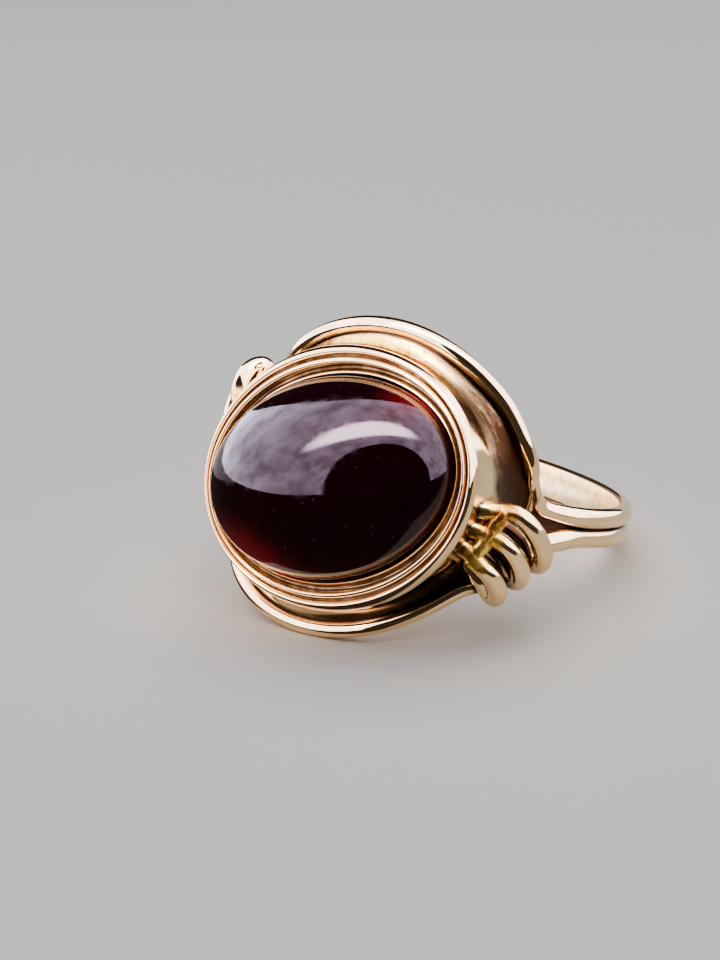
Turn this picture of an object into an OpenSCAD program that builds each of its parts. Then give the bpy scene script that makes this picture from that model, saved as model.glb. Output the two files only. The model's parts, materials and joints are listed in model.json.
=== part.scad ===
// Dress ring with a large oval cabochon set across the finger. Millimetres.
// Built about the finger-hole centre (x across the finger, y along it, z out of the face),
// then laid on its side and set down with the middle of its footprint at the origin.

/* [Finger hole and shank] */
// Diameter of the finger hole
bore_d = 17.3; // [15:0.1:21]
// Diameter of the round wire in the shank
wire_d = 1.0; // [0.8:0.05:1.4]
// How far each shank wire is cut away by the finger hole, as a share of its radius
wire_flat = 0.4; // [0.2:0.05:0.6]
// Overlap where the two shank wires are soldered side by side
solder_bite = 0.04; // [0.02:0.01:0.1]
// Width of the smooth band inside the shank
band_w = 1.7; // [1.2:0.1:2.4]
// Thickness of that band
band_t = 0.3; // [0.2:0.05:0.5]
// Angle left open in the band under the stone
band_open = 82; // [60:2:88]

/* [Stone] */
// Length of the stone, across the finger
stone_l = 13.2; // [11:0.1:15]
// Width of the stone, along the finger
stone_w = 9.6; // [8:0.1:11]
// Height of the stone from its flat base to where the lip holds it
girdle_h = 1.45; // [1.1:0.05:2]
// Height of the dome above the lip
dome_h = 3.9; // [2:0.1:5]
// How much narrower the stone is at the lip than at its base
stone_draft = 0.05; // [0.02:0.01:0.1]
// Clearance between the stone and its setting
stone_gap = 0.04; // [0.02:0.01:0.1]

/* [Bezel] */
// Turn of the whole head against the shank, about the face normal
head_turn = 25; // [10:1:35]
// Height of the bezel's outer edge above the finger hole
edge_rise = 1.78; // [1.6:0.02:2.4]
// Reach of the bezel's outer edge beyond the stone at its two ends
edge_end = 0.6; // [0.5:0.02:1.2]
// Reach of the bezel's outer edge beyond the stone at its two sides
edge_side = 1.22; // [0.9:0.02:1.6]
// Height of the beads above the outer edge
bead_h = 0.5; // [0.3:0.05:0.7]
// Undercut of the plain wall below the outer edge
wall_inset = 0.1; // [0.05:0.01:0.2]
// Width of the ledge that the stone sits on
ledge_w = 0.9; // [0.5:0.05:1.3]
// Clearance of the setting's underside from the finger hole
under_gap = 0.35; // [0.25:0.05:0.6]

/* [Cove and rim] */
// Diameter of the wire where it is drawn thinner as the rim
rim_d = 0.74; // [0.5:0.02:0.9]
// Reach of the rim wire's centre beyond the bezel's edge at the two ends
rim_end = 0.68; // [0.4:0.02:1]
// Reach of the rim wire's centre beyond the bezel's edge at the two sides
rim_side = 0.84; // [0.6:0.02:1.2]
// Drop of the rim below the bezel's edge where it is highest
rim_low = 0.93; // [0.7:0.01:1.4]
// Further drop of the rim over the shank
rim_drop = 3.7; // [3:0.1:4.2]
// How late the rim drops: a higher value keeps it level for longer
rim_hold = 2.86; // [2:0.02:4]
// Swell of the rim's corners, as a share of its size
rim_swell = 0.034; // [0:0.002:0.06]
// Share of the fall from bezel edge to rim taken by the plain wall
wall_share = 0.36; // [0.2:0.02:0.5]

/* [Shoulder wraps] */
// Diameter of the wrap wire
wrap_d = 0.86; // [0.7:0.02:0.96]
// Reach of each wrap's lobe from the rim to its far end
wrap_l = 3.4; // [3.1:0.05:3.7]
// Distance from one wrap to the next
wrap_pitch = 1.4; // [1.2:0.05:1.6]
// How much shorter each wrap's lobe is than the one before, as a share
wrap_taper = 0.18; // [0.12:0.01:0.22]
// Step between wraps where they spring from the bezel wall, in degrees round the head
wrap_fan = 8.5; // [7:0.5:10]
// Depth below the bezel's edge at which the wraps spring from its wall
wrap_top = 1.15; // [0.9:0.05:1.4]
// How far below its start each wrap comes back to the wall
wrap_return = 1.3; // [1.1:0.05:1.6]

/* [Rest] */
// Turns that lay the ring on its side, about x, y and z
rest_turn = [71.08, 7.15, -32.74];

/* [Hidden] */
bore_r = bore_d / 2;
wire_r = wire_d / 2;
wire_y = wire_r - solder_bite / 2;
shank_r = bore_r + wire_r * (1 - wire_flat);
sl = stone_l / 2;
sw = stone_w / 2;
edge_z = bore_r + edge_rise;
edge_a = sl + edge_end;
edge_b = sw + edge_side;
lip_a = sl * (1 - stone_draft) + stone_gap;
lip_b = sw * (1 - stone_draft) + stone_gap;
lip_z = edge_z + 0.62 * bead_h;
base_z = lip_z - girdle_h;
wall_a = edge_a - wall_inset;
wall_b = edge_b - wall_inset;
rim_a = edge_a + rim_end;
rim_b = edge_b + rim_side;
seat_a = sl - ledge_w;
seat_b = sw - ledge_w;
head_n = 60;
wire_n = 12;
wrap_n = 9;
dome_n = 11;

// Bezel section from the lip out to the edge: share of the width, share of the bead height
bezel_rows = [[0, 0.62], [0.06, 0.8], [0.13, 0.62], [0.18, 0.25], [0.29, 0.2], [0.34, 0.55], [0.4, 0.95],
    [0.47, 1], [0.54, 0.82], [0.59, 0.42], [0.64, 0.4], [0.68, 0.66], [0.74, 0.86], [0.83, 0.84],
    [0.91, 0.6], [0.965, 0.32], [1, 0]];
// Free shoulder, where a rim wire bends into the shank: shares of shank_r across, along and up,
// then share of the way from rim to shank thickness
free_rows = [[0.812, 0.334, 0.737, 0], [0.815, 0.2, 0.645, 0.05], [0.832, 0.1, 0.55, 0.1],
    [0.87, 0.066, 0.46, 0.5]];
// Wrapped shoulder, in the same shares
bound_rows = [[0.735, -0.35, 0.79, 0], [0.785, -0.275, 0.715, 0], [0.832, -0.2, 0.615, 0.5],
    [0.88, -0.108, 0.505, 1.3], [0.937, -0.066, 0.39, 1.3]];
// First wrap's lobe starts here, in shares of shank_r; the others step away in wrap_dir
wrap_start = [0.891, 0.08, 0.908];
wrap_dir = [-0.26, -0.93, 0.25];
// Path of a lobe in shares of wrap_l: out over the rim, round its far end and back inside
wrap_path = [[0, 0, 0], [0.113, -0.096, -0.141], [0.208, -0.231, -0.31], [0.282, -0.408, -0.479],
    [0.28, -0.563, -0.592], [0.22, -0.68, -0.704], [0.1, -0.745, -0.815], [-0.03, -0.69, -0.81],
    [-0.11, -0.54, -0.7], [-0.16, -0.36, -0.507]];
// Direction square to the plane of a lobe
wrap_side = [-0.23, -0.73, 0.64];
// Head angle at which the first wrap springs from the bezel wall
wrap_from = -24;

function mix(a, b, s) = a + (b - a) * s;
function unit(v) = v / norm(v);
function flip(p) = [-p[0], -p[1], p[2]];
function head(t, a, b, z) = [a * cos(t) * cos(head_turn) - b * sin(t) * sin(head_turn),
    a * cos(t) * sin(head_turn) + b * sin(t) * cos(head_turn), z];
function swell(t) = 1 + rim_swell * sin(2 * t);
function rim_z(t) = edge_z - rim_low - rim_drop * pow(abs(cos(t + head_turn)), rim_hold);
function rim(t) = head(t, rim_a * swell(t), rim_b * swell(t), rim_z(t));
function cove(t, s) = let (q = 1 - cos(90 * s), z0 = mix(edge_z, rim_z(t), wall_share))
    head(t, mix(wall_a, rim_a * swell(t), q), mix(wall_b, rim_b * swell(t), q), mix(z0, rim_z(t), sin(90 * s)));
function under(t, a, b, lift) = let (p = head(t, a, b, 0))
    [p[0], p[1], sqrt(max(bore_r * bore_r - p[0] * p[0], 1)) + under_gap + lift];

// One closed section of the head at angle t: bezel, wall, cove, underside, ledge, girdle wall
function head_section(t) = concat(
    [for (r = bezel_rows) head(t, mix(lip_a, edge_a, r[0]), mix(lip_b, edge_b, r[0]), edge_z + r[1] * bead_h)],
    [head(t, wall_a, wall_b, edge_z - 0.08)],
    [for (s = [0 : 0.2 : 1]) cove(t, s)],
    [let (p = rim(t)) p - [0, 0, rim_d * 0.4]],
    [under(t, seat_a + 0.3, seat_b + 0.3, 0), under(t, seat_a, seat_b, 0.15)],
    [head(t, seat_a, seat_b, base_z - stone_gap), head(t, sl + stone_gap, sw + stone_gap, base_z - stone_gap),
     head(t, sl + stone_gap, sw + stone_gap, base_z + girdle_h * 0.45)]);

// Faces of a grid of n sections of m points, closed round both ways or capped
function grid_faces(n, m, closed) = concat(
    [for (i = [0 : closed ? n - 1 : n - 2], j = [0 : m - 1], k = [0, 1])
        let (i2 = (i + 1) % n, j2 = (j + 1) % m)
        k == 0 ? [i * m + j, i2 * m + j2, i * m + j2] : [i * m + j, i2 * m + j, i2 * m + j2]],
    closed ? [] : [[for (j = [0 : m - 1]) j], [for (j = [m - 1 : -1 : 0]) (n - 1) * m + j]]);

// Smooth curve through stations, with sub points between each two
function smooth(p, sub, closed) = let (n = len(p), last = closed ? n - 1 : n - 2)
    concat([for (i = [0 : last], k = [0 : sub - 1]) let (t = k / sub,
        a = p[closed ? (i + n - 1) % n : max(i - 1, 0)], b = p[i],
        c = p[(i + 1) % n], d = p[closed ? (i + 2) % n : min(i + 2, n - 1)])
        0.5 * (2 * b + (c - a) * t + (2 * a - 5 * b + 4 * c - d) * t * t + (3 * b - a - 3 * c + d) * t * t * t)],
        closed ? [] : [p[n - 1]]);

// Round tube along stations of point and radius; ref gives the side direction at each point
function at(q) = [q[0], q[1], q[2]];
function tube(p, sides, closed, ref) = let (n = len(p))
    [for (i = [0 : n - 1]) let (a = at(p[closed ? (i + n - 1) % n : max(i - 1, 0)]),
        b = at(p[closed ? (i + 1) % n : min(i + 1, n - 1)]), t = unit(b - a),
        u = unit(cross(t, is_undef(ref) ? at(p[i]) : ref)), v = cross(t, u))
        for (j = [0 : sides - 1]) at(p[i]) + p[i][3] * (cos(360 * j / sides) * u + sin(360 * j / sides) * v)];

// Upper wire: over the head, down the free shoulder, round the back, up the wrapped shoulder.
// Each station is a point and the wire's radius there
function stn(p, s) = [p[0], p[1], p[2], mix(rim_d / 2, wire_r, s)];
function shoulder(r, side) = stn([r[0] * side, r[1] * side, r[2]] * shank_r, r[3]);
upper_path = smooth(concat(
    [for (t = [120 : -15 : 15]) stn(rim(t), 0)],
    [for (r = free_rows) shoulder(r, 1)],
    [for (a = [75 : 17.5 : 285]) stn([shank_r * sin(a), wire_y, shank_r * cos(a)], 1)],
    [for (i = [len(bound_rows) - 1 : -1 : 0]) shoulder(bound_rows[i], -1)]), 3, true);

// A wrap keeps clear of the finger hole by its own radius
function clear_hole(p) = let (r = norm([p[0], p[2]]), k = max(1, (bore_r + wrap_d / 2 + 0.03) / r))
    [p[0] * k, p[1], p[2] * k];
// A wrap starts inside the bezel wall, crosses the cove, runs round its lobe and ends inside the wall
function wrap_foot(t, drop, sink) = let (w = head(t, wall_a, wall_b, edge_z - drop))
    w - unit([w[0], w[1], 0]) * sink;
function wrap_curve(k) = let (t = wrap_from - wrap_fan * k, b = wrap_foot(t, wrap_top, -0.08),
    s = wrap_start * shank_r + unit(wrap_dir) * wrap_pitch * k, m = mix(b, s, 0.52) - [0, 0, 0.05],
    l = wrap_l * (1 - wrap_taper * k))
    smooth([for (p = concat([wrap_foot(t, wrap_top - 0.2, 0.3), b, m], [for (q = wrap_path) s + q * l],
        [wrap_foot(t - wrap_fan / 2, wrap_top + wrap_return, 0.8)]))
        let (c = clear_hole(p)) [c[0], c[1], c[2], wrap_d / 2]], 2, false);
wraps = [for (k = [0 : 2]) wrap_curve(k)];

head_pts = [for (i = [0 : head_n - 1]) each head_section(360 * i / head_n)];
head_m = len(head_section(0));
wire_pts = tube(upper_path, wire_n, true);
wrap_pts = [for (w = wraps) tube(w, wrap_n, false, wrap_side)];

// Stone sections from the base up: share of its size, height
stone_rows = concat([[0.96, 0], [1, 0.12 * girdle_h], [1, 0.45 * girdle_h], [1 - stone_draft, girdle_h]],
    [for (i = [1 : dome_n - 1]) let (s = 90 * i / dome_n)
        [(1 - stone_draft) * pow(cos(s), 1.2), girdle_h + dome_h * sin(s)]]);
stone_pts = concat([for (r = stone_rows, i = [0 : head_n - 1])
    head(360 * i / head_n, sl * r[0], sw * r[0], base_z + r[1])], [[0, 0, base_z + girdle_h + dome_h]]);
stone_m = len(stone_rows);

// Place on the floor: turn, then shift so the box stands centred on the origin
function turned(p) = let (a = rest_turn,
    y = [p[0], p[1] * cos(a[0]) - p[2] * sin(a[0]), p[1] * sin(a[0]) + p[2] * cos(a[0])],
    z = [y[0] * cos(a[1]) + y[2] * sin(a[1]), y[1], -y[0] * sin(a[1]) + y[2] * cos(a[1])])
    [z[0] * cos(a[2]) - z[1] * sin(a[2]), z[0] * sin(a[2]) + z[1] * cos(a[2]), z[2]];
shell = [for (p = concat(head_pts, wire_pts, [for (w = wrap_pts) each w])) turned(p)];
shell2 = [for (p = concat(wire_pts, [for (w = wrap_pts) each w])) turned(flip(p))];
dome = [for (p = stone_pts) turned(p)];
function span(k) = let (a = [for (p = concat(shell, shell2, dome)) p[k]]) [min(a), max(a)];
set_down = [-(span(0)[0] + span(0)[1]) / 2, -(span(1)[0] + span(1)[1]) / 2, -span(2)[0]];
module rest() { translate(set_down) rotate(rest_turn) children(); }
module both() { children(); rotate([0, 0, 180]) children(); }

module shank_wires() { both() polyhedron(wire_pts, grid_faces(len(upper_path), wire_n, true)); }
module shank_band() {
    rotate([90, 0, 0]) rotate([0, 0, 90 + band_open / 2])
        rotate_extrude(angle = 360 - band_open, $fn = 96)
            translate([bore_r - 0.1, -band_w / 2]) square([band_t + 0.1, band_w]);
}
module head_body() { polyhedron(head_pts, grid_faces(head_n, head_m, true)); }
module shoulder_wraps() {
    both() for (w = wrap_pts) polyhedron(w, grid_faces(len(wraps[0]), wrap_n, false));
}
module finger_hole() { rotate([90, 0, 0]) cylinder(r = bore_r, h = stone_l * 2, center = true, $fn = 96); }

module mount() {
    color([0.83, 0.62, 0.36]) rest() difference() {
        union() { shank_wires(); shank_band(); head_body(); shoulder_wraps(); }
        finger_hole();
    }
}

module cabochon() {
    color([0.2, 0.01, 0.02]) rest() polyhedron(stone_pts, concat(
        [for (i = [0 : stone_m - 2], j = [0 : head_n - 1], k = [0, 1]) let (j2 = (j + 1) % head_n)
            k == 0 ? [i * head_n + j, (i + 1) * head_n + j2, i * head_n + j2]
                   : [i * head_n + j, (i + 1) * head_n + j, (i + 1) * head_n + j2]],
        [for (j = [0 : head_n - 1]) [(stone_m - 1) * head_n + j, stone_m * head_n,
            (stone_m - 1) * head_n + (j + 1) % head_n]],
        [[for (j = [0 : head_n - 1]) j]]));
}

mount();
cabochon();
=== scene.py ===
import json
import math

import bpy
import numpy as np
from mathutils import Euler, Matrix, Vector, noise
from mathutils.bvhtree import BVHTree


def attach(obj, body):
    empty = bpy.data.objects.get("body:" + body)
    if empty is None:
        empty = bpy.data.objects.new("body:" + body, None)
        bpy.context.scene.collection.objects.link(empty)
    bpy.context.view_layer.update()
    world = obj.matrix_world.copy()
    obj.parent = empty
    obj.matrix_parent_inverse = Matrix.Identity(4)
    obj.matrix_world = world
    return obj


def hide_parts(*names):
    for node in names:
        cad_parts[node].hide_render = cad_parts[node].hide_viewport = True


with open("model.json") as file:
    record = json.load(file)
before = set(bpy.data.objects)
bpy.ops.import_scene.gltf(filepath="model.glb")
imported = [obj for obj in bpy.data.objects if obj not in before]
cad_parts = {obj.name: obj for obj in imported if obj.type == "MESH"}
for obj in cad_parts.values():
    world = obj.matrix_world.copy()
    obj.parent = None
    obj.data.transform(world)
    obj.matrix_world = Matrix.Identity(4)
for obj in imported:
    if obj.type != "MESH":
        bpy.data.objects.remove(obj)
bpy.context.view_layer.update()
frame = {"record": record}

# How the ring lies. It is drawn standing about the middle of its finger hole, in millimetres, with
# x across the finger, y along it and z out of the stone's face, and is then laid on its side as the
# frame has it.
rest_turn = (71.08, 7.15, -32.74)
finger_hole = next(m for m in frame["record"]["mounts"] if m["name"] == "finger_hole")
bore_r = finger_hole["dims"]["r_mm"]
lay_down = (Matrix.Translation(finger_hole["pos_m"])
            @ Euler([math.radians(a) for a in rest_turn]).to_matrix().to_4x4()
            @ Matrix.Scale(0.001, 4))


# Head. The stone's collet and the cove round it are one piece of gold, raised from sheet and filed:
# a thin lip rubbed over the stone, a groove, a round bead, a step and a broad outer bead, then a
# short wall that flares through a hollow cove to the rim. It sits slanted across the finger.
stone_length, stone_width = 13.2, 9.6
girdle_height, dome_height, stone_draft, stone_gap = 1.45, 3.9, 0.05, 0.04
girdle_upright = 0.45 * girdle_height
head_turn = math.radians(25)
edge_rise, edge_end, edge_side = 1.78, 0.6, 1.22
bead_height, lip_share = 0.5, 0.62
wall_inset, wall_top, wall_share = 0.1, 0.08, 0.36
rim_end, rim_side, rim_radius = 0.68, 0.84, 0.37
rim_low, rim_drop, rim_hold, rim_swell, rim_back = 0.93, 3.7, 2.86, 0.034, 0.8
ledge_width, ledge_bevel, ledge_lift, under_gap = 0.9, 0.3, 0.15, 0.35

edge_z = bore_r + edge_rise
edge_a, edge_b = stone_length / 2 + edge_end, stone_width / 2 + edge_side
lip_a, lip_b = [s / 2 * (1 - stone_draft) + stone_gap for s in (stone_length, stone_width)]
wall_a, wall_b = edge_a - wall_inset, edge_b - wall_inset
rim_a, rim_b = edge_a + rim_end, edge_b + rim_side
lip_z = edge_z + lip_share * bead_height
stone_base = lip_z - girdle_height


class Level:
    """A value that changes over a finish. Arithmetic on it adds the Math nodes it needs."""

    def __init__(self, finish, socket):
        self.finish, self.socket = finish, socket

    def math(self, operation, first, second):
        return self.finish.node("ShaderNodeMath", {"operation": operation}, {0: first, 1: second})

    def __add__(self, other):
        return self.math("ADD", self, other)

    def __sub__(self, other):
        return self.math("SUBTRACT", self, other)

    def __rsub__(self, other):
        return self.math("SUBTRACT", other, self)

    def __mul__(self, other):
        return self.math("MULTIPLY", self, other)

    __radd__, __rmul__ = __add__, __mul__


class Finish:
    """One material, with its nodes."""

    def __init__(self, name):
        self.material = bpy.data.materials.new(name)
        self.material.use_nodes = True
        self.tree = self.material.node_tree
        self.shader = self.tree.nodes["Principled BSDF"]

    def node(self, kind, settings=None, sockets=None, output=0):
        """Any node: its settings first, then the values or links of its sockets."""
        made = self.tree.nodes.new(kind)
        for key, value in (settings or {}).items():
            setattr(made, key, value)
        for key, value in (sockets or {}).items():
            self.feed(made.inputs[key], value)
        return Level(self, made.outputs[output])

    def noise(self, place, scale, detail=2.0, roughness=0.5):
        return self.node("ShaderNodeTexNoise", None,
                         {"Vector": place, "Scale": scale, "Detail": detail,
                          "Roughness": roughness}, "Fac")

    def attribute(self, name, output="Fac"):
        return self.node("ShaderNodeAttribute", {"attribute_name": name}, None, output)

    def place(self):
        return self.node("ShaderNodeTexCoord", None, None, "Object")

    def stretched(self, place, turn, scale):
        """The place turned and stretched, which draws a noise out into strokes."""
        return self.node("ShaderNodeMapping", None,
                         {"Vector": place, "Rotation": turn, "Scale": scale})

    def between(self, low, high, level):
        """The share of the way from low to high, from 0 to 1."""
        return self.node("ShaderNodeMapRange", {"interpolation_type": "SMOOTHSTEP"},
                         {"Value": level, "From Min": low, "From Max": high})

    def blend(self, factor, first, second):
        return self.node("ShaderNodeMix", {"data_type": "RGBA"},
                         {0: factor, 6: first, 7: second}, 2)

    def two_bumps(self, strength, depth, fine, swell_depth, swell):
        """A normal from fine scratches, with the soft waves of hand polishing laid over them."""
        scratched = self.node("ShaderNodeBump", None, {"Strength": strength, "Distance": depth,
                                                       "Height": fine})
        return self.node("ShaderNodeBump", None, {"Strength": 1.0, "Distance": swell_depth,
                                                  "Height": swell, "Normal": scratched})

    def feed(self, socket, value):
        if isinstance(value, Level):
            self.tree.links.new(value.socket, socket)
        elif socket.type == "RGBA":
            socket.default_value = (*value, 1)
        else:
            socket.default_value = value

    def shade(self, **values):
        for key, value in values.items():
            self.feed(self.shader.inputs[key.replace("_", " ")], value)


def make_gold(name, wear, rosy, pale):
    """Low-carat gold between two colours, polished by hand: bright on the open surfaces, finely
    scratched by wear, brown and dull where polish has settled in the recesses and where shade is
    painted in as brown, and yellow where solder has flooded it. The mesh says how dirty or shaded,
    how flooded and along which strokes it lies."""
    gold = Finish(name)
    place = gold.place()
    recess, flood = gold.attribute("recess"), gold.attribute("flood")
    cloud = gold.noise(place, 420, 4, 0.6)
    fleck = gold.noise(place, 2600, 3, 0.7)
    brushed = gold.noise(gold.attribute("sweep", "Vector"), 1, 4, 0.6)
    scratches = gold.noise(gold.stretched(place, (0.5, 0.9, 0.3), (9000, 700, 5200)), 1, 3)
    swell = gold.noise(place, 700, 1.5)

    # Where the mesh holds dirt or painted shade, the gold is darkened towards one brown
    settled = 0.05 + 0.6 * cloud + 0.35 * fleck + 0.95 * brushed
    grime_and_shade = gold.between(0.1, 0.8, recess * settled * (1 - 0.65 * flood))
    clean = gold.blend(gold.between(0.35, 0.65, cloud), rosy, pale)
    solder_brown, solder_yellow = (0.32, 0.10, 0.010), (0.95, 0.62, 0.11)
    dirt_and_shade_brown = (0.030, 0.0085, 0.0015)
    mottled = gold.between(0.4, 0.56, 0.5 * fleck + 0.5 * cloud)
    melted = gold.blend(mottled, solder_brown, solder_yellow)
    bright = gold.blend(gold.between(0.3, 0.75, flood * (0.5 + cloud)), clean, melted)
    worn = 0.02 * wear + 0.07 * wear * cloud * cloud + 0.05 * wear * scratches
    gold.shade(Base_Color=gold.blend(grime_and_shade * 0.985, bright, dirt_and_shade_brown), Metallic=1.0, IOR=1.5,
               Roughness=worn + 0.2 * grime_and_shade + 0.22 * flood,
               Normal=gold.two_bumps(0.035 * wear, 0.00002, scratches, 0.0000045, swell))
    return gold.material


polished_gold = make_gold("polished gold", 1, (0.88, 0.58, 0.28), (0.93, 0.67, 0.34))


def on_head(t, a, b, z):
    """Points of the head's oval of half sizes a and b, at angle t and height z."""
    x, y = a * np.cos(t), b * np.sin(t)
    return np.stack([x * math.cos(head_turn) - y * math.sin(head_turn),
                     x * math.sin(head_turn) + y * math.cos(head_turn), z + 0 * x], -1)


def rim_fullness(t):
    """The rim is not quite an oval: it is a little fuller beside each shoulder."""
    return 1 + rim_swell * np.sin(2 * t)


def rim_line(t):
    """The rim's centre line: level round the stone's sides, swooping down to meet the shank."""
    drop = rim_low + rim_drop * np.abs(np.cos(t + head_turn)) ** rim_hold
    return on_head(t, rim_a * rim_fullness(t), rim_b * rim_fullness(t), edge_z - drop)


def curve_through(stations, between, closed):
    """A smooth curve through rows of numbers, with more rows between each two."""
    p = np.asarray(stations, float)
    n = len(p)
    rows = []
    for i in range(n if closed else n - 1):
        a, b, c, d = [p[k % n] if closed else p[min(max(k, 0), n - 1)]
                      for k in (i - 1, i, i + 1, i + 2)]
        for s in np.arange(between) / between:
            rows.append(0.5 * (2 * b + (c - a) * s + (2 * a - 5 * b + 4 * c - d) * s ** 2
                               + (3 * b - a - 3 * c + d) * s ** 3))
    return np.array(rows if closed else rows + [p[-1]])


def lay_piece(mesh, name, material, soft_angle=38):
    """Lays a mesh down as the ring lies, smooths it up to its sharp edges and makes it a piece."""
    mesh.transform(lay_down)
    for polygon in mesh.polygons:
        polygon.use_smooth = True
    mesh.set_sharp_from_angle(angle=math.radians(soft_angle))
    mesh.materials.clear()
    mesh.materials.append(material)
    piece = bpy.data.objects.new(name, mesh)
    bpy.context.scene.collection.objects.link(piece)
    return piece


def solder_in(piece):
    """Makes a piece part of the gold mount."""
    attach(piece, "root")
    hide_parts("mount")
    return piece


def skin_grid(rows, name):
    """A mesh on a grid of points, closed both ways round: a ring of sections."""
    n, m = rows.shape[:2]
    i, j = np.meshgrid(np.arange(n), np.arange(m), indexing="ij")
    i2, j2 = (i + 1) % n, (j + 1) % m
    faces = np.stack([i * m + j, i * m + j2, i2 * m + j2, i2 * m + j], -1).reshape(-1, 4)
    mesh = bpy.data.meshes.new(name)
    mesh.from_pydata(rows.reshape(-1, 3).tolist(), [], faces.tolist())
    return mesh


def write_levels(mesh, name, levels, kind="FLOAT"):
    """Gives each point of a mesh a level, or three, that a finish or a node reads by name."""
    field = {"FLOAT": "value", "FLOAT_VECTOR": "vector"}[kind]
    numbers = np.asarray(levels, np.float32).ravel()
    mesh.attributes.new(name, kind, "POINT").data.foreach_set(field, numbers)


# Bezel section from the lip out to the edge: share of its width, share of the beads' height, how
# much brown darkens it
bezel_section = [(0, lip_share, 0.6), (0.06, 0.8, 0), (0.13, 0.62, 0.4), (0.18, 0.25, 0.68),
                 (0.29, 0.2, 0.68), (0.34, 0.55, 0.4), (0.4, 0.95, 0), (0.47, 1, 0),
                 (0.54, 0.82, 0.15), (0.59, 0.42, 0.66), (0.64, 0.4, 0.66), (0.68, 0.66, 0.2),
                 (0.74, 0.86, 0), (0.83, 0.84, 0), (0.91, 0.6, 0), (0.965, 0.32, 0.1), (1, 0, 0.3)]
section_steps, cove_rows = 4, 18
around = np.linspace(0, 2 * math.pi, 240, endpoint=False)


def head_points():
    """The head's rows of points, and how much brown darkens each point: dirt and painted shade."""
    rows, grime_and_shade = [], []

    def add(a, b, z, darkening):
        rows.append(on_head(around, a, b, z))
        grime_and_shade.append(darkening + 0 * around)

    for share, height, darkening in curve_through(bezel_section, section_steps, False):
        add(lip_a + (edge_a - lip_a) * share, lip_b + (edge_b - lip_b) * share,
            edge_z + height * bead_height, max(darkening, 0))
    add(wall_a, wall_b, edge_z - wall_top, 0.3)

    # The cove flares a quarter turn from the wall to the rim. Painted shade, a brown that stands in
    # for the dark the cove reflects, lies in its middle, and most of it on the side by the
    # right-hand wraps.
    rim, out_to = rim_line(around), rim_fullness(around)
    wall_end = edge_z + (rim[:, 2] - edge_z) * wall_share
    # How much painted shade each side of the cove gets: most by the right-hand wraps
    painted_shade_side = (0.5 + 0.5 * np.cos(around + math.radians(5))) ** 1.5
    for s in np.linspace(0, math.pi / 2, cove_rows):
        out, down = 1 - math.cos(s), math.sin(s)
        middle = math.sin(2 * s) ** 0.5 if s < math.pi / 2 else 0
        add(wall_a + (rim_a * out_to - wall_a) * out, wall_b + (rim_b * out_to - wall_b) * out,
            wall_end + (rim[:, 2] - wall_end) * down, 0.05 + (0.15 + 0.8 * painted_shade_side) * middle)

    # Behind the rim the back follows the finger, up to the opening and the ledge under the stone
    rows.append(rim - [0, 0, rim_radius * rim_back])
    grime_and_shade.append(0.15 + 0 * around)
    seat_a, seat_b = stone_length / 2 - ledge_width, stone_width / 2 - ledge_width
    pocket_a, pocket_b = stone_length / 2 + stone_gap, stone_width / 2 + stone_gap
    for grow, lift in ((ledge_bevel, 0), (0, ledge_lift)):
        add(seat_a + grow, seat_b + grow, 0, 0.1)
        over_finger = np.sqrt(np.maximum(bore_r ** 2 - rows[-1][:, 0] ** 2, 1))
        rows[-1][:, 2] = over_finger + under_gap + lift
    add(seat_a, seat_b, stone_base - stone_gap, 0.5)
    add(pocket_a, pocket_b, stone_base - stone_gap, 0.6)
    add(pocket_a, pocket_b, stone_base + girdle_upright, 0.6)
    return np.stack(rows, 1), np.stack(grime_and_shade, 1)


head_grid, head_dirt_and_shade = head_points()
head_mesh = skin_grid(head_grid, "bezel and cove")
write_levels(head_mesh, "recess", head_dirt_and_shade)
# The polishing strokes run round the head: the place round it, then across it
strokes = np.broadcast_arrays(5 * np.cos(around)[:, None], 5 * np.sin(around)[:, None],
                              0.45 * np.arange(head_grid.shape[1]))
write_levels(head_mesh, "sweep", np.stack(strokes, -1), "FLOAT_VECTOR")
# Solder has run from the bezel's wall down the top of the cove, over two thirds of its rows
run_down = np.zeros(head_grid.shape[:2])
wall_row = (len(bezel_section) - 1) * section_steps + 1
flooded_rows = slice(wall_row, wall_row + 13)
thickest = math.radians(72)
run_down[:, flooded_rows] = 0.85 * np.clip(np.cos(around - thickest), 0, 1)[:, None] ** 2
write_levels(head_mesh, "flood", run_down)
head = solder_in(lay_piece(head_mesh, "bezel_and_cove", polished_gold))


# Shank and rim wires. Two lengths of round gold wire are soldered side by side as the shank. At
# each shoulder they part: one is drawn thinner and swept over the head as its rim, the other goes
# under the wraps. The second wire is the first turned half round about the stone's face.
wire_radius, wire_flat, solder_bite = 0.5, 0.4, 0.04
shank_radius = bore_r + wire_radius * (1 - wire_flat)
shank_from, shank_to = 75, 285
wire_offset = wire_radius - solder_bite / 2
hole_clearance = 0.05
# A shoulder's points, as shares of the shank's radius, and how far the wire is back to its full
# thickness there
free_shoulder = [(0.812, 0.334, 0.737, 0), (0.815, 0.2, 0.645, 0.05), (0.832, 0.1, 0.55, 0.1),
                 (0.87, 0.066, 0.46, 0.5)]
bound_shoulder = [(0.735, -0.35, 0.79, 0), (0.785, -0.275, 0.715, 0), (0.832, -0.2, 0.615, 0.5),
                  (0.88, -0.108, 0.505, 1.3), (0.937, -0.066, 0.39, 1.3)]


def wire_stations():
    """Points and radii of one wire, once round the ring."""
    rows = [(*rim_line(np.float64(math.radians(t))), rim_radius) for t in range(120, 0, -15)]

    def shoulder(row, side):
        x, y, z, share = row
        return (x * side * shank_radius, y * side * shank_radius, z * shank_radius,
                rim_radius + (wire_radius - rim_radius) * share)

    rows += [shoulder(r, 1) for r in free_shoulder]
    rows += [(shank_radius * math.sin(a), wire_offset, shank_radius * math.cos(a), wire_radius)
             for a in np.radians(np.linspace(shank_from, shank_to, 13))]
    return rows + [shoulder(r, -1) for r in reversed(bound_shoulder)]


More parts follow.
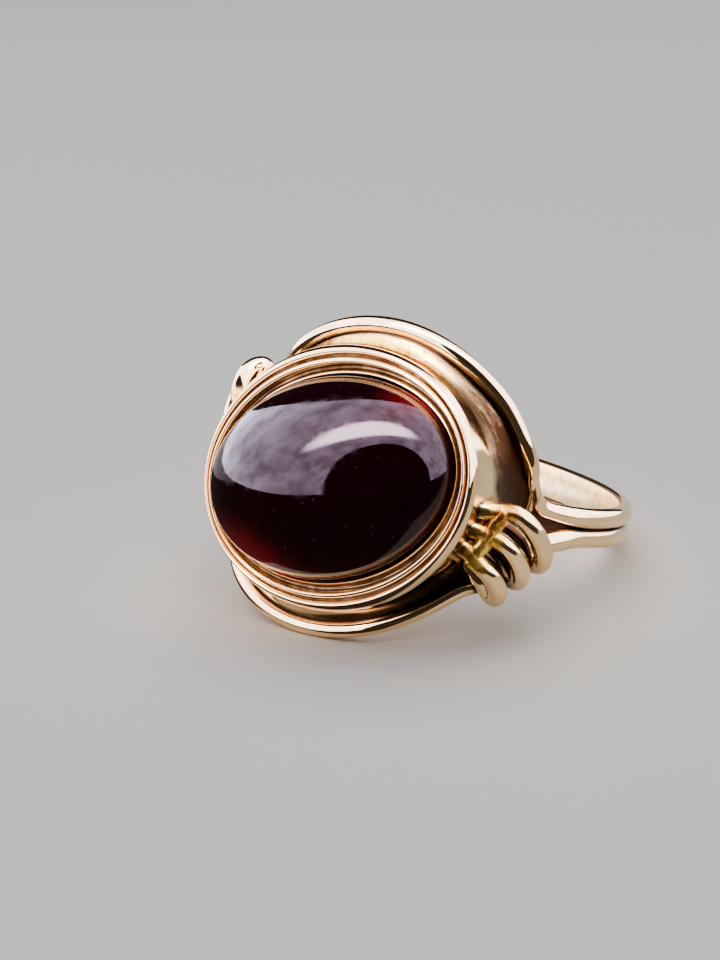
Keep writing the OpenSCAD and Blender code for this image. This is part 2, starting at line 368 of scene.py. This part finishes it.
def round_wire_tree():
    """Geometry nodes that draw round wire of changing thickness along an edge path."""
    tree = bpy.data.node_groups.new("round wire", "GeometryNodeTree")
    face = tree.interface
    face.new_socket("Path", in_out="INPUT", socket_type="NodeSocketGeometry")
    face.new_socket("Sides", in_out="INPUT", socket_type="NodeSocketInt")
    face.new_socket("Metal", in_out="INPUT", socket_type="NodeSocketMaterial")
    face.new_socket("Wire", in_out="OUTPUT", socket_type="NodeSocketGeometry")

    def node(kind, **sockets):
        made = tree.nodes.new(kind)
        for key, value in sockets.items():
            socket = made.inputs[key.replace("_", " ")]
            if isinstance(value, bpy.types.NodeSocket):
                tree.links.new(value, socket)
            else:
                socket.default_value = value
        return made

    given = node("NodeGroupInput").outputs
    path = node("GeometryNodeMeshToCurve", Mesh=given["Path"])
    width = node("GeometryNodeInputNamedAttribute", Name="wire_radius")
    section = node("GeometryNodeCurvePrimitiveCircle", Resolution=given["Sides"], Radius=1.0)
    skin = node("GeometryNodeCurveToMesh", Curve=path.outputs[0], Profile_Curve=section.outputs[0],
                Scale=width.outputs[0], Fill_Caps=True)
    real = node("GeometryNodeRealizeInstances", Geometry=skin.outputs[0])
    finish = node("GeometryNodeSetMaterial", Geometry=real.outputs[0], Material=given["Metal"])
    node("NodeGroupOutput", Wire=finish.outputs[0])
    return tree


round_wire = round_wire_tree()


def draw_wire(path, name, sides, closed):
    """One wire along rows of x, y, z and radius, as a plain mesh in the ring's own millimetres."""
    path = np.asarray(path)
    n = len(path)
    edges = [(i, (i + 1) % n) for i in range(n if closed else n - 1)]
    mesh = bpy.data.meshes.new(name)
    mesh.from_pydata(path[:, :3].tolist(), edges, [])
    write_levels(mesh, "wire_radius", path[:, 3])
    carrier = bpy.data.objects.new(name + " path", mesh)
    bpy.context.scene.collection.objects.link(carrier)
    modifier = carrier.modifiers.new("round wire", "NODES")
    modifier.node_group = round_wire
    names = {s.name: s.identifier for s in round_wire.interface.items_tree if s.in_out == "INPUT"}
    modifier[names["Sides"]] = sides
    modifier[names["Metal"]] = polished_gold
    bpy.context.view_layer.update()
    drawn_out = carrier.evaluated_get(bpy.context.evaluated_depsgraph_get())
    drawn = bpy.data.meshes.new_from_object(drawn_out)
    bpy.data.objects.remove(carrier)
    return drawn


def keep_hole_open(mesh):
    """Files a mesh back to just behind the finger hole's wall."""
    wall = bore_r + hole_clearance
    for vertex in mesh.vertices:
        x, _, z = vertex.co
        reach = math.hypot(x, z)
        if reach < wall:
            vertex.co.x, vertex.co.z = x * wall / reach, z * wall / reach


half_round = Matrix.Rotation(math.pi, 4, "Z")
both_turns = (Matrix.Identity(4), half_round)
wire_path = curve_through(wire_stations(), 8, True)
wires = []
for turn, name in zip(both_turns, ("wire_over_the_top", "wire_under_the_stone")):
    mesh = draw_wire(wire_path, name, sides=28, closed=True)
    keep_hole_open(mesh)
    mesh.transform(turn)
    wires.append(solder_in(lay_piece(mesh, name, polished_gold)))


# Inner band. A smooth strip of gold lines the shank so that the two wires are comfortable on the
# finger. It stops under the stone, and its edges are eased. It is worn, with a few yellow patches,
# and its gold is painted paler than the rest as a painted reflection of bright light.
band_width, band_thickness, band_open, band_ease = 1.7, 0.3, 82, 0.06
# Dirt and yellow at each corner of its section. The outer face, behind the wires, holds the dirt.
band_dirt = [0.3, 0.2, 0.05, 0.9, 0.9, 0.05, 0.2, 0.3]
band_yellow = [0.56, 0.56, 0, 0, 0, 0, 0.56, 0.56]


def band_points():
    half, inner, outer = band_width / 2, bore_r, bore_r + band_thickness
    eased, bevel = band_ease, 0.3 * band_ease
    edge = [(inner, half - eased), (inner + bevel, half - bevel), (inner + eased, half),
            (outer, half)]
    corners = [(r, -y) for r, y in edge] + edge[::-1]
    turns = np.radians(np.linspace(90 + band_open / 2, 450 - band_open / 2, 150))
    return np.array([[(r * math.cos(a), y, r * math.sin(a)) for r, y in corners] for a in turns])


def band_mesh():
    rows = band_points()
    n, m = rows.shape[:2]
    faces = [(i * m + j, i * m + (j + 1) % m, (i + 1) * m + (j + 1) % m, (i + 1) * m + j)
             for i in range(n - 1) for j in range(m)]
    faces += [tuple(range(m))[::-1], tuple(range((n - 1) * m, n * m))]
    mesh = bpy.data.meshes.new("inner band")
    mesh.from_pydata(rows.reshape(-1, 3).tolist(), [], faces)
    write_levels(mesh, "recess", np.tile(band_dirt, n))
    write_levels(mesh, "flood", np.tile(band_yellow, n))
    # The wear runs along the band: the place along it, then across it
    along = np.broadcast_to(np.linspace(0, 14, n)[:, None], (n, m))
    strokes = np.stack([along, rows[:, :, 1] * 3.5, 0 * along], -1)
    write_levels(mesh, "sweep", strokes, "FLOAT_VECTOR")
    return mesh


# A paler copy of the polished gold: painted light for the bright reflection on the band's inside
pale_painted_band_gold = make_gold("worn gold", 2.5, (0.96, 0.80, 0.50), (1.0, 0.93, 0.78))
band = solder_in(lay_piece(band_mesh(), "inner_band", pale_painted_band_gold, soft_angle=50))


# Shoulder wraps. Three turns of round wire bind each rim wire at its shoulder. Every turn springs
# from the collet's wall just under the bezel, dips across the cove, swells out over the rim as a
# long lobe and comes back inside it.
wrap_radius, wrap_length, wrap_pitch, wrap_taper = 0.43, 3.4, 1.4, 0.18
wrap_from, wrap_fan, wrap_top, wrap_return = -24, 8.5, 1.15, 1.3
root_sink, end_sink, bump_out, saddle_share, saddle_dip = 0.7, 0.8, 0.08, 0.52, 0.05
wrap_start = Vector((0.891, 0.08, 0.908)) * shank_radius
wrap_step = Vector((-0.26, -0.93, 0.25)).normalized() * wrap_pitch
# A lobe's path from its start: shares of its length, then share of the wire's full thickness
wrap_lobe = [(0, 0, 0, 0.95), (0.113, -0.096, -0.141, 1), (0.208, -0.231, -0.31, 1.04),
             (0.282, -0.408, -0.479, 1.06), (0.28, -0.563, -0.592, 1.03),
             (0.22, -0.68, -0.704, 0.96), (0.1, -0.745, -0.815, 0.9), (-0.03, -0.69, -0.81, 0.88),
             (-0.11, -0.54, -0.7, 0.9), (-0.16, -0.36, -0.507, 0.95)]
shoulders = ("right", "left")


def lobe_length(k):
    """Each lobe is shorter than the one before it."""
    return wrap_length * (1 - wrap_taper * k)


def wrap_foot(angle, drop, sink):
    """A point at an angle round the collet, a drop below its edge and sunk into its wall."""
    wall = Vector(on_head(angle, wall_a, wall_b, edge_z - drop))
    return wall - Vector((wall.x, wall.y, 0)).normalized() * sink


def wrap_stations(k):
    """Points and radii of one wrap: its root in the wall, a bump, a saddle, the lobe, its end."""
    start, angle = wrap_start + wrap_step * k, math.radians(wrap_from - wrap_fan * k)
    bump = wrap_foot(angle, wrap_top, -bump_out)
    saddle = bump.lerp(start, saddle_share) - Vector((0, 0, saddle_dip))
    stations = [(wrap_foot(angle, wrap_top - 0.15, root_sink), 0.95), (bump, 1), (saddle, 0.9)]
    stations += [(start + Vector(q[:3]) * lobe_length(k), q[3]) for q in wrap_lobe]
    end = wrap_foot(angle - math.radians(wrap_fan / 2), wrap_top + wrap_return, end_sink)
    stations.append((end, 0.95))
    rows = []
    for p, thick in stations:
        grow = max(1, (bore_r + wrap_radius + 0.03) / math.hypot(p.x, p.z))
        rows.append((p.x * grow, p.y, p.z * grow, wrap_radius * thick))
    return rows


def eased_wrap(k):
    """A wrap's smooth path: bent round the rim by hand, it has no tight kinks."""
    rows, times_eased = curve_through(wrap_stations(k), 8, False), 30
    for _ in range(times_eased):
        rows[1:-1] = (rows[:-2] + 2 * rows[1:-1] + rows[2:]) / 4
    return rows


wraps = []
for side, turn in zip(shoulders, both_turns):
    for k in range(3):
        name = f"{side}_wrap_{k + 1}"
        mesh = draw_wire(eased_wrap(k), name, sides=24, closed=False)
        mesh.transform(turn)
        wraps.append(solder_in(lay_piece(mesh, name, polished_gold, soft_angle=50)))


# Solder. It has run along the foot of the wraps and filled the hollows between them, and was left
# as it flowed, yellower than the gold. Brown dirt has settled beside every seam, and the inside of
# the wraps' eyes is painted brown as shade.
lump_height, lump_pitch = 0.1, 2.4


def solder_line():
    """Its three high points, on the wraps' saddles."""
    return [Vector(wrap_stations(k)[2][:3]) + Vector((0.02, 0, 0.06)) for k in range(3)]


def solder_stations():
    line = solder_line()
    ends = [line[0] - Vector((0.05, 0, 0.1)), line[2] + (line[2] - line[1]) * 0.4]
    middles = [line[k].lerp(line[k + 1], 0.5) - Vector((0.02, 0, 0.08)) for k in range(2)]
    run = (ends[0], line[0], middles[0], line[1], middles[1], line[2], ends[1])
    return [(*p, r) for p, r in zip(run, (0.2, 0.4, 0.46, 0.4, 0.44, 0.36, 0.15))]


solder = []
for side, turn in zip(shoulders, both_turns):
    name = side + "_solder"
    mesh = draw_wire(curve_through(solder_stations(), 8, False), name, sides=32, closed=False)
    for vertex in mesh.vertices:
        vertex.co += vertex.normal * lump_height * noise.noise(vertex.co * lump_pitch)
    keep_hole_open(mesh)
    mesh.transform(turn)
    solder.append(solder_in(lay_piece(mesh, name, polished_gold, soft_angle=60)))

gold_pieces = [head, band] + wires + wraps + solder
skins = [BVHTree.FromPolygons([v.co for v in p.data.vertices],
                              [tuple(f.vertices) for f in p.data.polygons]) for p in gold_pieces]
# The middle line of each wrap's eye, from its ends as shares of the lobe's length, and each
# stretch of solder
eye_ends = ((0.05, -0.2, -0.24), (0.05, -0.6, -0.68))
eyes = [[lay_down @ turn @ (wrap_start + wrap_step * k + Vector(end) * lobe_length(k))
         for end in eye_ends] for k in range(3) for turn in both_turns]
runs = [[lay_down @ turn @ solder_line()[i] for i in (k, k + 1)]
        for k in range(2) for turn in both_turns]
seam_width, metal_reach = 0.00036, 0.0005


def towards(line, point):
    """The way from a point to the nearest place on a straight line between two ends."""
    top, bottom = line
    share = min(max((point - top).dot(bottom - top) / (bottom - top).length_squared, 0), 1)
    return top.lerp(bottom, share) - point


def seam_dirt(co, normal, own):
    """Dirt beside another piece. One close behind a thin strip makes no seam on its front."""
    darkening, behind = 0, -0.8
    for skin in skins:
        place, _, _, gap = skin.find_nearest(co, seam_width)
        if skin is not own and place is not None and (place - co).dot(normal) > behind * gap:
            darkening = max(darkening, (1 - gap / seam_width) ** 1.3)
    return darkening


def eye_painted_shade(co, normal):
    """Painted shade on what faces the middle of an eye, and lies close to it."""
    darkening = 0
    for eye in eyes:
        inward = towards(eye, co)
        facing = min(max(1.6 * normal.dot(inward.normalized()), 0), 1)
        darkening = max(darkening, facing * min(max(2.6 - inward.length / metal_reach, 0), 1))
    return darkening


def melted_over(co):
    """How far solder has flooded a place: fully beside its run, fading out further off."""
    return min(max(2.2 - min(towards(run, co).length for run in runs) / metal_reach, 0), 1)


for piece, own in zip(gold_pieces, skins):
    mesh = piece.data
    for name in ("recess", "flood"):
        if name not in mesh.attributes:
            mesh.attributes.new(name, "FLOAT", "POINT")
    levels, floods = np.zeros((2, len(mesh.vertices)), np.float32)
    mesh.attributes["recess"].data.foreach_get("value", levels)
    mesh.attributes["flood"].data.foreach_get("value", floods)
    for i, vertex in enumerate(mesh.vertices):
        co, normal = vertex.co, vertex.normal
        levels[i] = max(levels[i], seam_dirt(co, normal, own), eye_painted_shade(co, normal))
        floods[i] = max(floods[i], melted_over(co))
    mesh.attributes["recess"].data.foreach_set("value", levels)
    mesh.attributes["flood"].data.foreach_set("value", floods)


# Cabochon. An oval garnet, cut with a flat base, a plain girdle and a high dome, and polished
# smooth and bright. It is so deep a red that it looks almost black until light passes through an
# edge. It rests on the ledge inside the collet, held by the lip.
def make_garnet():
    """Deep red with a painted red glow, standing in for light let through, where the mesh marks it;
    fine dust and smears of wear.
    """
    garnet = Finish("deep red garnet")
    place = garnet.place()
    veil = garnet.noise(place, 240, 5)
    smear = garnet.noise(place, 1300, 3, 0.6)
    scratches = garnet.noise(garnet.stretched(place, (0.2, 0.4, 1.1), (8000, 500, 3000)), 1, 2)
    wave = garnet.noise(place, 170, 1)
    speck = garnet.noise(place, 6500, 0)

    # The red glow is painted into the base colour
    glow = garnet.between(0.1, 1.0, garnet.attribute("thin_edge") * (0.2 + 1.1 * veil))
    dark_red, lit_red, dust_grey = (0.011, 0.0004, 0.0016), (0.33, 0.005, 0.014), (0.16, 0.10, 0.13)
    body = garnet.blend(glow, dark_red, lit_red)
    garnet.shade(Base_Color=garnet.blend(garnet.between(0.8, 0.84, speck) * 0.4, body, dust_grey),
                 Roughness=0.03 + 0.14 * garnet.between(0.4, 0.75, smear), IOR=1.52,
                 Specular_IOR_Level=0.25, Specular_Tint=(0.95, 0.68, 0.80),
                 Normal=garnet.two_bumps(0.06, 0.00002, scratches, 0.00003, wave))
    return garnet.material


def stone_mesh():
    """Rows of ovals from the flat base over the girdle up the dome, closed by one point."""
    top_share, dome_steps, round_steps = 1 - stone_draft, 65, 160
    rows = [(0.96, 0), (0.985, 0.04 * girdle_height), (1, 0.12 * girdle_height),
            (1, girdle_upright), (top_share, girdle_height)]
    for s in np.radians(np.linspace(0, 90, dome_steps)[1:-1]):
        rows.append((top_share * math.cos(s) ** (1 + 0.2 * math.cos(s)),
                     girdle_height + dome_height * math.sin(s)))
    turns = np.linspace(0, 2 * math.pi, round_steps, endpoint=False)
    points = [on_head(turns, stone_length / 2 * r, stone_width / 2 * r, stone_base + h)
              for r, h in rows]
    tip = (0, 0, stone_base + girdle_height + dome_height)
    n, top = len(turns), len(rows) * len(turns)
    faces = [(i * n + j, i * n + (j + 1) % n, (i + 1) * n + (j + 1) % n, (i + 1) * n + j)
             for i in range(len(rows) - 1) for j in range(n)]
    faces += [(top - n + j, top - n + (j + 1) % n, top) for j in range(n)]
    faces += [tuple(range(n))[::-1]]
    mesh = bpy.data.meshes.new("garnet")
    mesh.from_pydata(np.concatenate(points).tolist() + [tip], [], faces)

    # Painted red glow at its edge, standing in for light let through: a narrow streak of it at the
    # top right, and a broad deep glow at the lower left
    def lit_from(angle, narrowness):
        return np.clip(np.cos(turns - math.radians(angle)), 0, 1) ** narrowness

    edge = np.array([max(0, (r - 0.55) / 0.4) ** 1.5 for r, _ in rows])
    inner_edge = np.array([max(0, (r - 0.3) / 0.65) for r, _ in rows])
    streak = np.outer(edge, 0.1 + 0.9 * lit_from(36, 30))
    glow = 0.8 * np.outer(inner_edge, lit_from(225, 5))
    write_levels(mesh, "thin_edge", np.append(streak + glow, 0))
    return mesh


garnet_dome = lay_piece(stone_mesh(), "garnet_cabochon", make_garnet())
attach(garnet_dome, "root")
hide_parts("cabochon")


# Studio. A pale matt floor under one large soft light. A paper arch with a bright window in its
# roof stands over the ring, open at the front and the back, and a dark card lies before the ring.
# Only the polished gold and stone reflect them. The camera looks down from a little above the ring.
def set_out(mesh, name, finish):
    mesh.materials.append(finish.material)
    thing = bpy.data.objects.new(name, mesh)
    bpy.context.scene.collection.objects.link(thing)
    return thing


def lay_floor(reach):
    pale = Finish("pale floor")
    pale.shade(Base_Color=(0.76, 0.75, 0.74), Roughness=0.9, Specular_IOR_Level=0)
    corners = [(x * reach, y * reach, 0) for x, y in ((-1, -1), (1, -1), (1, 1), (-1, 1))]
    mesh = bpy.data.meshes.new("floor")
    mesh.from_pydata(corners, [], [(0, 1, 2, 3)])
    floor = set_out(mesh, "floor", pale)


def hang_sheet(name, finish, points):
    """A sheet in strips between pairs of points, which nothing but a polished surface shows."""
    mesh = bpy.data.meshes.new(name)
    strips = [(i, i + 1, i + 3, i + 2) for i in range(0, len(points) - 2, 2)]
    mesh.from_pydata(points, [], strips)
    sheet = set_out(mesh, name, finish)
    sheet.visible_camera = sheet.visible_diffuse = sheet.visible_shadow = False


def stand_arch(radius, brightness, window):
    """A lit paper arch. Its stations hold the tilt from upright, and where it starts and ends
    along y. The window's middle and half sizes are x, y, long and wide."""
    stations = [(-92, -0.2, 0.35), (-60, -0.17, 0.16), (-30, -0.12, 0.055), (0, -0.10, 0.04),
                (30, -0.10, 0.07), (60, -0.108, 0.14), (92, -0.11, 0.2)]
    points = [(radius * math.sin(math.radians(t)), y, radius * math.cos(math.radians(t)))
              for t, front, back in curve_through(stations, 6, False) for y in (front, back)]
    x, y, long, wide = window
    paper = Finish("lit paper")
    place = paper.place()
    off_x = (paper.node("ShaderNodeSeparateXYZ", None, {0: place}, 0) - x) * (1 / long)
    off_y = (paper.node("ShaderNodeSeparateXYZ", None, {0: place}, 1) - y) * (1 / wide)
    opening = paper.between(1.15, 0.45, off_x * off_x + off_y * off_y)
    uneven = paper.between(0.3, 0.7, paper.noise(place, 34, 5, 0.6))
    sheet = paper.blend(uneven, (0.048, 0.045, 0.055), (0.124, 0.116, 0.142))
    paper.shade(Base_Color=(0, 0, 0), Specular_IOR_Level=0, Emission_Strength=brightness,
                Emission_Color=paper.blend(opening, sheet, (1.0, 0.97, 1.0)))
    hang_sheet("paper arch", paper, points)


def lay_dark_card(height):
    """Lies before the ring and beside its face, clear of the finger hole."""
    dark = Finish("dark card")
    dark.shade(Base_Color=(0.05, 0.04, 0.035), Roughness=1, Specular_IOR_Level=0)
    back_edge = [(-0.4, 0.02), (-0.014, 0.02), (-0.009, -0.007), (-0.002, -0.0095),
                 (0.004, -0.0155), (0.4, -0.045)]
    hang_sheet("dark card", dark, [(x, y, height) for x, back in back_edge for y in (-0.5, back)])


def soft_light(name, place, width, height, brightness):
    """A flat light facing down, which no polished surface reflects."""
    lamp = bpy.data.lights.new(name, "AREA")
    lamp.shape = "RECTANGLE"
    lamp.size, lamp.size_y = width, height
    lamp.energy = brightness * math.pi * width * height
    light = bpy.data.objects.new(name, lamp)
    bpy.context.scene.collection.objects.link(light)
    light.location = place
    light.visible_glossy = light.visible_camera = False


lay_floor(reach=0.9)
stand_arch(radius=0.13, brightness=90, window=(-0.012, -0.050, 0.085, 0.022))
lay_dark_card(height=0.0002)
soft_light("floor light", (-0.1, -0.05, 0.6), width=0.9, height=0.9, brightness=2.5)

world = bpy.data.worlds.new("studio")
bpy.context.scene.world = world
world.use_nodes = True
room = world.node_tree.nodes["Background"].inputs
room["Color"].default_value, room["Strength"].default_value = (0.9, 0.92, 1, 1), 0.03

lens = bpy.data.cameras.new("camera")
lens.lens, lens.sensor_width = 67.7, 36
lens.clip_start, lens.clip_end = 0.005, 10
camera = bpy.data.objects.new("camera", lens)
bpy.context.scene.collection.objects.link(camera)
hole_middle = Vector(finger_hole["pos_m"])
camera_place = hole_middle + Vector((-0.00016, -0.08425, 0.03290))
camera_aim = hole_middle + Vector((-0.00419, -0.00284, 0.00099))
camera_roll = math.radians(-2.96)
camera.matrix_world = (Matrix.Translation(camera_place)
                       @ (camera_aim - camera_place).to_track_quat("-Z", "Y").to_matrix().to_4x4()
                       @ Matrix.Rotation(camera_roll, 4, "Z"))
bpy.context.scene.camera = camera

bpy.context.view_layer.update()
